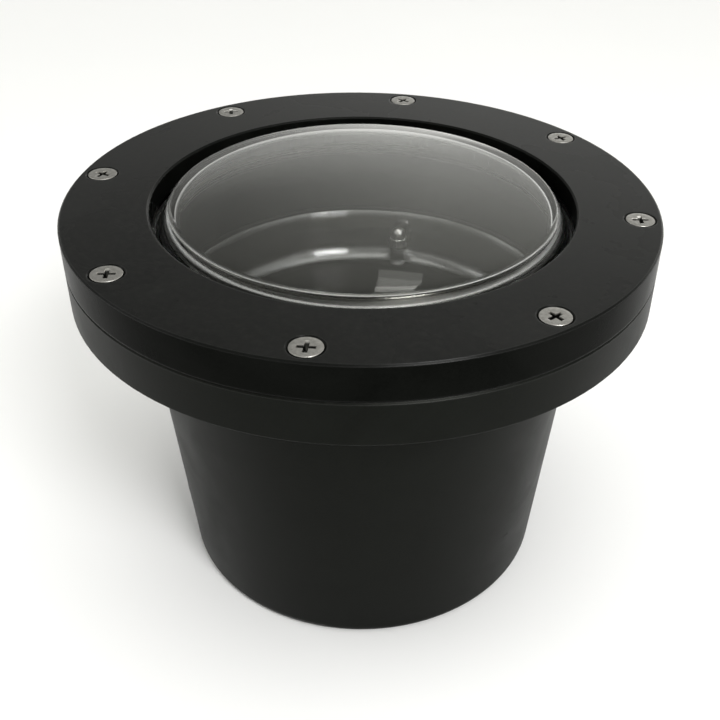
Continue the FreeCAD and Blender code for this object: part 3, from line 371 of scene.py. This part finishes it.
def moulded_black(name, color, roughness, sheen, top_coat, dust=0.06, rounding=0.0):
    """Black composite with a fine spark-eroded grain, and a little dust where it faces up.

    Its sheen is stronger where it faces up, and strongest on edges that hands have rubbed.
    """
    m = Shader(name, color, roughness, specular=sheen)
    m.set("Specular Tint", CAST)
    m.set("Coat IOR", 1.35)
    m.set("Coat Roughness", roughness)
    rubbed = m.times(m.edges(RUB_REACH), RUB_SHARE)
    m.drive("Coat Weight", m.add(m.times(m.facing_up(), top_coat), rubbed))
    cloud = m.noise(34 * MM, detail=6, rough=0.6, distortion=0.6)
    fine = m.noise(0.7 * MM, detail=2)
    speck = m.noise(2.4 * MM, detail=5, rough=0.7)
    lighter = tuple(c * 1.9 + 0.001 for c in color)
    mottle = m.add(m.times(cloud, 0.7), m.times(fine, 0.3))
    tone = m.ramp(mottle, [(0.35, color), (0.68, lighter)])
    specks = m.ramp(speck, [(0.45, 0.0), (0.8, 1.0)])
    dusty = m.times(m.facing_up(), m.times(specks, dust))
    m.drive("Base Color", m.blend(dusty, tone, DUST))
    m.drive("Roughness", m.ramp(cloud, [(0.3, roughness - 0.06), (0.75, roughness + 0.08)]))
    m.bump((cloud, 0.05 * MM), (fine, 0.03 * MM), rounding=rounding)
    return m.material


def pressed_glass():
    """Clear pressed glass: a faint green tint, the slow ripple that the mould leaves, and a ringed skirt."""
    m = Shader("pressed_glass", (0.955, 0.965, 0.95), 0.0)
    m.set("Transmission Weight", 1.0)
    m.set("IOR", 1.5)
    m.set("Specular Tint", (1.0, 1.0, 0.90, 1.0))
    ripple = m.noise(26 * MM, detail=1)
    smear = m.noise(40 * MM, detail=6, rough=0.7, distortion=1.5)
    rings = m.noise(1.6 * MM, detail=3, place=m.turned(0.012))
    dull_rings = m.ramp(rings, [(0.35, 0.12), (0.65, 0.45)])
    skirt = m.times(m.beyond(SKIRT_START, SKIRT_BAND), dull_rings)
    m.drive("Roughness", m.add(m.ramp(smear, [(0.5, 0.0), (0.9, 0.03)]), skirt))
    m.bump((ripple, 0.03 * MM))
    return m.material


def gloss_deck():
    """Black moulding with rounded edges and a little orange peel, glossy except where it lies flat."""
    m = Shader("gloss_deck", (0.015, 0.0155, 0.0135), 0.40, specular=0.05)
    m.set("Coat IOR", 2.4)
    m.set("Coat Roughness", 0.11)
    m.set("Coat Tint", (0.98, 1.0, 0.92, 1.0))
    m.drive("Coat Weight", m.ramp(m.facing_up(0.85, 0.98), [(0.0, 1.0), (1.0, 0.0)]))
    peel = m.noise(5.5 * MM, detail=2)
    cloud = m.noise(30 * MM, detail=3, distortion=0.8)
    speck = m.noise(0.9 * MM, detail=3)
    m.drive("Base Color", m.ramp(cloud, [(0.3, (0.010, 0.0105, 0.0092)), (0.75, (0.014, 0.0145, 0.0126))]))
    m.drive("Roughness", m.ramp(cloud, [(0.35, 0.35), (0.75, 0.48)]))
    m.bump((peel, 0.008 * MM), (speck, 0.003 * MM), rounding=5 * MM, sockets=("Normal", "Coat Normal"))
    return m.material


def turned_steel(name, color, roughness):
    """Steel with fine turning marks across its axis and a few dull spots."""
    m = Shader(name, color, roughness, metallic=1.0)
    marks = m.noise(0.12 * MM, detail=2, place=m.stretched((0.25, 0.25, 1.0)))
    spots = m.noise(1.6 * MM, detail=5, rough=0.65)
    darker = tuple(c * 0.62 for c in color)
    m.drive("Base Color", m.ramp(spots, [(0.3, darker), (0.62, color)]))
    m.drive("Roughness", m.ramp(spots, [(0.3, roughness + 0.22), (0.65, roughness)]))
    m.bump((marks, 0.006 * MM))
    return m.material


def screw_steel():
    """Satin stainless steel, with painted shade that turns it nearly black down in the cross recess."""
    m = Shader("screw_steel", (0.40, 0.39, 0.365), 0.38, metallic=1.0)
    spots = m.noise(1.6 * MM, detail=5, rough=0.65)
    marks = m.noise(0.25 * MM, detail=2, place=m.stretched((1.0, 0.12, 1.0)))
    mm_deep = m.math("DIVIDE", m.part("Z"), -MM)
    # Painted shade: the colour goes over to nearly black from 0.22 mm below the head's top, down in the cross
    # recess and under the head's rim.
    recess_shade = m.ramp(mm_deep, [(0.22, 0.0), (0.75, 1.0)])
    steel_tone = m.ramp(spots, [(0.3, (0.27, 0.265, 0.245)), (0.62, (0.43, 0.42, 0.395))])
    m.drive("Base Color", m.blend(recess_shade, steel_tone, (0.02, 0.02, 0.018)))
    m.drive("Roughness", m.ramp(spots, [(0.3, 0.5), (0.65, 0.34)]))
    m.bump((marks, 0.008 * MM))
    return m.material


def zinc_plate():
    """Plated sheet steel with a faint spangle."""
    m = Shader("zinc_plate", (0.56, 0.56, 0.55), 0.36, metallic=1.0)
    spangle = m.cells(3.2 * MM)
    haze = m.noise(9 * MM, detail=5, rough=0.6)
    m.drive("Base Color", m.ramp(haze, [(0.3, (0.42, 0.42, 0.42)), (0.7, (0.62, 0.62, 0.60))]))
    m.drive("Roughness", m.ramp(spangle, [(0.0, 0.28), (0.8, 0.5)]))
    m.bump((spangle, 0.01 * MM), (haze, 0.02 * MM))
    return m.material


def brass():
    """Machined brass, brown where it has tarnished."""
    m = Shader("brass", (0.70, 0.50, 0.22), 0.28, metallic=1.0)
    tarnish = m.noise(2.2 * MM, detail=5, rough=0.65)
    marks = m.noise(0.15 * MM, detail=2, place=m.stretched((0.3, 0.3, 1.0)))
    m.drive("Base Color", m.ramp(tarnish, [(0.3, (0.40, 0.26, 0.11)), (0.65, (0.74, 0.54, 0.25))]))
    m.drive("Roughness", m.ramp(tarnish, [(0.3, 0.5), (0.65, 0.24)]))
    m.bump((marks, 0.006 * MM))
    return m.material


def rubber():
    """Black rubber with a pale bloom."""
    m = Shader("rubber", (0.012, 0.012, 0.012), 0.62, specular=0.35)
    bloom = m.noise(11 * MM, detail=6, rough=0.65)
    grain = m.noise(0.35 * MM, detail=2)
    m.drive("Base Color", m.ramp(bloom, [(0.35, (0.009, 0.009, 0.009)), (0.8, (0.035, 0.035, 0.033))]))
    m.drive("Roughness", m.ramp(bloom, [(0.35, 0.55), (0.8, 0.75)]))
    m.bump((grain, 0.02 * MM))
    return m.material


def ceramic():
    """Unglazed white ceramic, stained a little by heat."""
    m = Shader("ceramic", (0.72, 0.70, 0.64), 0.34)
    m.set("Subsurface Weight", 0.08)
    m.set("Subsurface Radius", (0.002, 0.0015, 0.001))
    stain = m.noise(7 * MM, detail=6, rough=0.6)
    speck = m.noise(0.5 * MM, detail=2)
    m.drive("Base Color", m.ramp(stain, [(0.3, (0.62, 0.59, 0.52)), (0.7, (0.75, 0.73, 0.68))]))
    m.drive("Roughness", m.ramp(stain, [(0.3, 0.5), (0.7, 0.3)]))
    m.bump((speck, 0.015 * MM))
    return m.material


def nylon(name, color):
    """Moulded nylon with a fine grain."""
    roughness = 0.42
    m = Shader(name, color, roughness, specular=0.45)
    cloud = m.noise(12 * MM, detail=5, rough=0.6)
    grain = m.noise(0.4 * MM, detail=2)
    paler = tuple(min(c * 1.25 + 0.004, 1.0) for c in color)
    m.drive("Base Color", m.ramp(cloud, [(0.3, color), (0.75, paler)]))
    m.drive("Roughness", m.ramp(cloud, [(0.3, roughness - 0.07), (0.75, roughness + 0.1)]))
    m.bump((grain, 0.015 * MM))
    return m.material


def braid():
    """Braided glass-fibre sleeve: a small lumpy weave, a little soiled."""
    m = Shader("braid", (0.46, 0.44, 0.38), 0.8, specular=0.25)
    m.set("Sheen Weight", 0.3)
    weave = m.cells(0.55 * MM, place=m.stretched((1.0, 1.0, 0.55)))
    soil = m.noise(6 * MM, detail=5, rough=0.6)
    m.drive("Base Color", m.ramp(soil, [(0.3, (0.34, 0.32, 0.27)), (0.7, (0.52, 0.50, 0.44))]))
    m.bump((weave, 0.12 * MM))
    return m.material


def pale_floor():
    """Matt white paper, very slightly uneven."""
    m = Shader("pale_floor", (0.90, 0.90, 0.895), 0.6, specular=0.2)
    cloud = m.noise(0.4, detail=3)
    m.drive("Base Color", m.ramp(cloud, [(0.3, (0.895, 0.895, 0.89)), (0.7, (0.915, 0.915, 0.91))]))
    return m.material


# ---- mesh helpers ----

def new_piece(name, mesh, material, body="root", smooth_below=30):
    """An object in the scene that rides on a CAD body, unless body is None and the caller sees to it."""
    for polygon in mesh.polygons:
        polygon.use_smooth = True
    mesh.set_sharp_from_angle(angle=math.radians(smooth_below))
    mesh.materials.append(material)
    piece = bpy.data.objects.new(name, mesh)
    bpy.context.scene.collection.objects.link(piece)
    if body:
        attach(piece, body)
    return piece


def mesh_from_rings(name, rings, closed=False):
    """Skin over rings of points; a ring of one point closes an end."""
    shape = bmesh.new()
    loops = [[shape.verts.new(p) for p in ring] for ring in rings]
    pairs = list(zip(loops, loops[1:]))
    if closed:
        pairs.append((loops[-1], loops[0]))
    for near, far in pairs:
        count = max(len(near), len(far))
        for k in range(count):
            step = (k + 1) % count
            corners = [near[k % len(near)], near[step % len(near)], far[step % len(far)], far[k % len(far)]]
            unique = list(dict.fromkeys(corners))
            shape.faces.new(unique)
    bmesh.ops.recalc_face_normals(shape, faces=shape.faces)
    mesh = bpy.data.meshes.new(name)
    shape.to_mesh(mesh)
    shape.free()
    return mesh


def circle(radius, z, count):
    angles = [math.tau * k / count for k in range(count)]
    return [(radius * math.cos(a), radius * math.sin(a), z) for a in angles]


def rounded(corners, steps=7):
    """Points of a profile through (radius, height, fillet) corners; a corner without a fillet stays sharp."""
    points = []
    for k, (r, z, fillet) in enumerate(corners):
        here = Vector((r, z))
        if not fillet:
            points.append((r, z))
            continue
        back = (Vector(corners[k - 1][:2]) - here).normalized()
        ahead = (Vector(corners[k + 1][:2]) - here).normalized()
        half = back.angle(ahead) / 2
        middle = here + (back + ahead).normalized() * (fillet / math.sin(half))
        first = here + back * (fillet / math.tan(half)) - middle
        last = here + ahead * (fillet / math.tan(half)) - middle
        start = math.atan2(first.y, first.x)
        sweep = (math.atan2(last.y, last.x) - start + math.pi) % math.tau - math.pi
        for j in range(steps + 1):
            a = start + sweep * j / steps
            points.append((middle.x + fillet * math.cos(a), middle.y + fillet * math.sin(a)))
    return points


# ---- lens ----

def dome_points(radius, edge, apex, reach):
    """Corners from the axis out to the reach, on the dome that is edge high at the given radius."""
    rise = apex - edge
    sphere = (radius ** 2 + rise ** 2) / (2 * rise)
    points = []
    for k in range(DOME_STEPS + 1):
        r = reach * k / DOME_STEPS
        points.append((r, apex - sphere + math.sqrt(sphere ** 2 - r ** 2), 0))
    return points


def lens_mesh():
    """Pressed glass: a flat flange, a raised dome with sloping sides, and a dish below it."""
    apex = LENS_HIGH.z
    foot = LENS_LOW.z
    rim = LENS_HIGH.x
    ceiling = apex - LENS_THICKNESS
    outside = dome_points(CROWN_RADIUS, TOP, apex, CROWN_RADIUS * CROWN_REACH)
    inside = dome_points(CROWN_RADIUS, TOP - LENS_THICKNESS, ceiling, DISH_TOP * DISH_REACH)
    share = DISH_TOP / CROWN_RADIUS
    dish_edge = ceiling - (apex - TOP) * share * share
    corners = outside + [
        (CROWN_RADIUS, TOP, CROWN_EDGE),
        (CROWN_ROOT, LENS_FLANGE_TOP, ROOT_ROUND),
        (rim, LENS_FLANGE_TOP, LENS_RIM_ROUND),
        (rim, foot, LENS_RIM_ROUND),
        (DISH_RADIUS, foot, LENS_RIM_ROUND),
        (DISH_TOP, dish_edge, DISH_CORNER),
    ] + inside[::-1]
    rings = []
    for r, z in rounded(corners):
        on_axis = math.isclose(r, 0.0, abs_tol=1e-6)
        rings.append([(0.0, 0.0, z)] if on_axis else circle(r, z, LENS_SIDES))
    return mesh_from_rings("lens_glass", rings)


def make_lens(material):
    piece = new_piece("lens_glass", lens_mesh(), material, smooth_below=40)
    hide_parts("lens")


# ---- screws ----

def cross_radius(angle, reach, width):
    """Distance from the middle of a cross recess to its outline."""
    c, s = abs(math.cos(angle)), abs(math.sin(angle))

    def box_radius(along, across):
        return min(along / max(c, 1e-9), across / max(s, 1e-9))

    return max(box_radius(reach, width / 2), box_radius(width / 2, reach))


def screw_angles(reach, width):
    """Evenly spread angles, with the corners of the cross among them."""
    corner = math.atan2(width / 2, reach)
    angles = [math.tau * k / SCREW_SIDES for k in range(SCREW_SIDES)]
    for quarter in range(4):
        for offset in (-corner, corner, -corner / 2, corner / 2, math.pi / 4):
            angles.append((quarter * math.pi / 2 + offset) % math.tau)
    return sorted(set(round(a, 6) for a in angles))


def screw_rings(head, shank, length, cross):
    """Rings of a screw from the bottom of its cross recess, over its head, to its tip.

    The head is a list of (radius, height) with its seat last; the cross is (reach, width, depth).
    """
    reach, width, depth = cross
    angles = screw_angles(reach, width)

    def ring(radius, z):
        points = []
        for a in angles:
            r = radius(a) if callable(radius) else radius
            points.append((r * math.cos(a), r * math.sin(a), z))
        return points

    crown = head[0][1]
    rings = [[(0.0, 0.0, crown - depth)]]
    for share, level in CROSS_STEPS:
        rings.append(ring(lambda a: cross_radius(a, reach, width) * share, crown - depth * level))
    for radius, z in head:
        rings.append(ring(radius, z))
    seat = head[-1][1]
    pitch = shank * THREAD_PITCH_SHARE
    steps = int((length + seat) / pitch * SCREW_STEPS)
    for k in range(1, steps + 1):
        z = seat - (length + seat) * k / steps
        fade = min(1.0, (z + length) / (TIP_FADE * pitch), (seat - z) / pitch)

        def thread(a, z=z, fade=fade):
            turn = (a / math.tau - z / pitch) % 1.0
            return shank - shank * THREAD_DEPTH_SHARE * abs(2 * turn - 1) * fade

        rings.append(ring(thread, z))
    rings.append([(0.0, 0.0, -length)])
    return rings


def make_screw(name, rings, place, turn, material, body, node):
    """A screw whose head has its top or its seat at the piece's own origin, turned to its place."""
    mesh = mesh_from_rings(name, rings)
    piece = new_piece(name, mesh, material, body=None)
    piece.matrix_world = Matrix.Translation(place) @ turn
    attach(piece, body)
    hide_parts(node)


def make_cover_screws(material):
    """Countersunk cross-recess screws, flush with the cover."""
    edge = HEAD_RADIUS - HEAD_GAP
    head = [(edge * HEAD_FLAT_SHARE, 0.0)]
    head += [(edge - HEAD_BEVEL * inward, -deep) for inward, deep in HEAD_BEVEL_STEPS]
    head += [(edge, -HEAD_RIM), (SHANK_RADIUS, -HEAD_RIM - edge + SHANK_RADIUS)]
    rings = screw_rings(head, SHANK_RADIUS, SCREW_LENGTH, COVER_CROSS)
    for k in range(SCREW_COUNT):
        around = math.tau * k / SCREW_COUNT
        place = Vector((SCREW_CIRCLE * math.cos(around), SCREW_CIRCLE * math.sin(around), TOP))
        turn = Matrix.Rotation(math.radians(SCREW_TURNS[k]), 4, "Z")
        make_screw(f"cover_screw_{k}", rings, place, turn, material, "root", "cover_screws")


def pan_head(radius, height):
    """Profile of a low rounded head that bears on z = 0."""
    return [(radius * across, height * up) for across, up in PAN_PROFILE]


def make_small_screws(stainless, zinc):
    """The pivot screws, the socket's screws and the terminal block's screws."""
    height = (PIVOTS_LOW.z + PIVOTS_HIGH.z) / 2
    radius = PIVOTS_HIGH.z - height
    rings = screw_rings(pan_head(radius, PIVOT_HEAD), PIVOT_SHANK, PIVOT_LENGTH, PIVOT_CROSS)
    for k, side in enumerate((-1, 1)):
        place = Vector((side * (PIVOTS_HIGH.x - PIVOT_HEAD), 0, height))
        turn = Matrix.Rotation(side * math.pi / 2, 4, "Y") @ Matrix.Rotation(PIVOT_TURNS[k], 4, "Z")
        make_screw(f"pivot_screw_{k}", rings, place, turn, stainless, "carrier", "pivot_screws")
    for node, label, (low, high), tall, body in (
        ("socket_screws", "socket_screw", SOCKET_SCREWS, SOCKET_SCREW_HEAD, "carrier"),
        ("block_screws", "block_screw", BLOCK_SCREWS, BLOCK_SCREW_HEAD, "root"),
    ):
        radius = (high.y - low.y) / 2
        seat = high.z - tall
        rings = screw_rings(pan_head(radius, tall), SMALL_SHANK, seat - low.z, SMALL_CROSS)
        for k, x in enumerate((low.x + radius, high.x - radius)):
            place = Vector((x, (low.y + high.y) / 2, seat))
            turn = Matrix.Rotation(SMALL_TURNS[k], 4, "Z")
            make_screw(f"{label}_{k}", rings, place, turn, zinc, body, node)


def make_stem(material):
    """Hollow stem with its thread all the way, which fades out over one turn at each end."""
    outer = STEM_HIGH.x
    root = outer - STEM_THREAD
    foot, top = STEM_LOW.z, STEM_HIGH.z
    steps = int((top - foot) / STEM_PITCH * STEM_STEPS)
    rings = [circle(STEM_BORE, foot, STEM_SIDES), circle(root, foot, STEM_SIDES)]
    for k in range(1, steps):
        z = foot + (top - foot) * k / steps
        fade = min(1.0, (z - foot) / STEM_PITCH, (top - z) / STEM_PITCH)
        ring = []
        for j in range(STEM_SIDES):
            turn = (z / STEM_PITCH - j / STEM_SIDES) % 1.0
            r = outer - STEM_THREAD * (1 - fade + fade * abs(2 * turn - 1))
            a = math.tau * j / STEM_SIDES
            ring.append((r * math.cos(a), r * math.sin(a), z))
        rings.append(ring)
    rings += [circle(root, top, STEM_SIDES), circle(STEM_BORE, top, STEM_SIDES)]
    mesh = mesh_from_rings("stem_thread", rings, closed=True)
    piece = new_piece("stem_thread", mesh, material)
    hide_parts("swivel_stem")


# ---- leads ----

def tube_mesh(name, line, radius):
    """Round tube with closed ends along a list of points in the plane x = 0."""
    rings = []
    for k, point in enumerate(line):
        before = line[max(k - 1, 0)]
        after = line[min(k + 1, len(line) - 1)]
        along = (Vector(after) - Vector(before)).normalized()
        side = Vector((1, 0, 0))
        up = along.cross(side)
        rings.append([
            tuple(Vector(point) + (side * math.cos(a) + up * math.sin(a)) * radius)
            for a in (math.tau * j / LEAD_SIDES for j in range(LEAD_SIDES))
        ])
    rings.insert(0, [tuple(line[0])])
    rings.append([tuple(line[-1])])
    return mesh_from_rings(name, rings)


def make_socket_lead(material):
    """Straight sleeve up from the stem's top to the socket."""
    length = LEAD_HIGH.z - LEAD_LOW.z
    upright = [(0, 0, LEAD_LOW.z + length * k / LEAD_STEPS) for k in range(LEAD_STEPS + 1)]
    mesh = tube_mesh("socket_sleeve", upright, LEAD_RADIUS)
    lead = new_piece("socket_sleeve", mesh, material, body=None)
    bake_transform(lead)
    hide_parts("socket_lead")


def make_supply_lead(material):
    """Sleeve that comes down out of the stem, bends, and runs level to the terminal block."""
    level = SUPPLY_LOW.z + LEAD_RADIUS
    bend = (SUPPLY_HIGH.z - level) / 2
    line = [(0, 0, SUPPLY_HIGH.z), (0, 0, level + bend * BEND_LEAD_IN)]
    for j in range(BEND_STEPS + 1):
        a = math.pi / 2 * j / BEND_STEPS
        line.append((0, -bend * (1 - math.cos(a)), level + bend * (1 - math.sin(a))))
    line += [(0, (SUPPLY_LOW.y - bend) / 2, level), (0, SUPPLY_LOW.y, level)]
    mesh = tube_mesh("supply_sleeve", line, LEAD_RADIUS)
    supply = new_piece("supply_sleeve", mesh, material)
    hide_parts("supply_lead")


# ---- finishes for the CAD nodes ----

def finish_nodes(finishes):
    """Give each CAD node its material."""
    for node, material in finishes.items():
        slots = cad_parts[node].data.materials
        slots.clear()
        slots.append(material)


# ---- stage ----

def make_stage():
    """A pale floor, wide enough to fill the picture."""
    shape = bmesh.new()
    corners = [(x * FLOOR_HALF, y * FLOOR_HALF) for x, y in ((-1, -1), (1, -1), (1, 1), (-1, 1))]
    shape.faces.new([shape.verts.new((x, y, -FLOOR_DROP)) for x, y in corners])
    mesh = bpy.data.meshes.new("floor")
    shape.to_mesh(mesh)
    shape.free()
    mesh.materials.append(pale_floor())
    floor = bpy.data.objects.new("floor", mesh)
    bpy.context.scene.collection.objects.link(floor)


def make_world():
    """Soft surroundings without a picture: pale low down, dim higher up, and a broad glow overhead."""
    world = bpy.data.worlds.new("studio")
    world.use_nodes = True
    around = Nodes(world.node_tree, "Generated")
    height = around.part("Z")

    def glow(stops):
        return around.ramp(height, [(sine, level / SKY_PEAK) for sine, level in stops])

    def side(axis, start, width):
        return around.ramp(around.add(around.part(axis), -start), [(0.0, 0.0), (width, 1.0)])

    right = side("X", *SKY_RIGHT_FROM)
    behind = side("Y", *SKY_BEHIND_FROM)
    back = around.blend(right, glow(SKY_BEHIND_LEFT), glow(SKY_BEHIND_RIGHT))
    level = around.times(around.blend(behind, glow(SKY_IN_FRONT), back), SKY_PEAK)
    background = around.nodes["Background"]
    background.inputs["Color"].default_value = SKY_COLOR
    around.join(level, background, "Strength")
    bpy.context.scene.world = world


def add_light(name, azimuth, elevation, distance, size, power):
    """An area light at (azimuth, elevation) in degrees from LIGHT_AIM, which it faces."""
    a, e = math.radians(azimuth), math.radians(elevation)
    away = Vector((math.cos(a) * math.cos(e), math.sin(a) * math.cos(e), math.sin(e)))
    lamp = bpy.data.lights.new(name, "AREA")
    lamp.shape = "RECTANGLE"
    lamp.size, lamp.size_y = size
    lamp.energy = power
    holder = bpy.data.objects.new(name, lamp)
    holder.location = LIGHT_AIM + away * distance
    holder.rotation_mode = "QUATERNION"
    holder.rotation_quaternion = (-away).to_track_quat("-Z", "Y")
    bpy.context.scene.collection.objects.link(holder)


def make_camera():
    """The photograph's camera: heading, tilt and roll from the named angles."""
    ahead = Vector((-math.sin(CAMERA_HEADING), math.cos(CAMERA_HEADING), 0))
    level = Vector((math.cos(CAMERA_HEADING), math.sin(CAMERA_HEADING), 0))
    forward = ahead * math.cos(CAMERA_DOWN) - Vector((0, 0, math.sin(CAMERA_DOWN)))
    up = level.cross(forward)
    right = level * math.cos(CAMERA_ROLL) + up * math.sin(CAMERA_ROLL)
    up = right.cross(forward)
    camera = bpy.data.cameras.new("camera")
    camera.sensor_width = CAMERA_SENSOR
    camera.lens = CAMERA_LENS
    camera.shift_x = CAMERA_SHIFT
    camera.clip_start = CAMERA_CLIP
    holder = bpy.data.objects.new("camera", camera)
    turn = Matrix((right, up, -forward)).transposed().to_4x4()
    holder.matrix_world = Matrix.Translation(CAMERA_PLACE) @ turn
    bpy.context.scene.collection.objects.link(holder)
    bpy.context.scene.camera = holder


# ---- the scene ----

make_camera()
make_world()
for light in LIGHTS:
    add_light(*light)
make_stage()

composite = moulded_black(
    "black_composite", (0.0019, 0.0022, 0.0018),
    roughness=0.40, sheen=0.066, top_coat=0.09,
)
cover_black = moulded_black(
    "cover_black", (0.0017, 0.0019, 0.0016),
    roughness=0.30, sheen=0.018, top_coat=0.50, dust=0.02, rounding=1.2 * MM,
)
stainless = turned_steel("stainless", (0.50, 0.49, 0.46), 0.36)
polished = turned_steel("polished_steel", (0.72, 0.71, 0.69), 0.28)
zinc = zinc_plate()
brassy = brass()
seal = rubber()
white_nylon = nylon("white_nylon", (0.62, 0.61, 0.57))
black_nylon = nylon("black_nylon", (0.016, 0.016, 0.015))

finish_nodes({
    "housing": composite,
    "cover_ring": cover_black,
    "screw_inserts": brassy,
    "lens_gasket": seal,
    "lamp_deck": gloss_deck(),
    "deck_studs": stainless,
    "deck_washers": stainless,
    "deck_cap_nuts": polished,
    "thrust_washer": white_nylon,
    "friction_washer": white_nylon,
    "swivel_nut": zinc,
    "stem_lock_nut": zinc,
    "yoke": zinc,
    "socket_carrier": zinc,
    "lamp_socket": ceramic(),
    "socket_contacts": brassy,
    "terminal_block": white_nylon,
    "clamp_screws": brassy,
    "gland_body": black_nylon,
    "gland_seal": seal,
    "gland_cap": black_nylon,
    "gland_washer": seal,
    "gland_lock_nut": black_nylon,
})

make_lens(pressed_glass())
make_cover_screws(screw_steel())
make_small_screws(stainless, zinc)
make_stem(zinc)
sleeve = braid()
make_socket_lead(sleeve)
make_supply_lead(sleeve)

bpy.context.view_layer.update()
bpy.context.scene.view_settings.view_transform = "Standard"
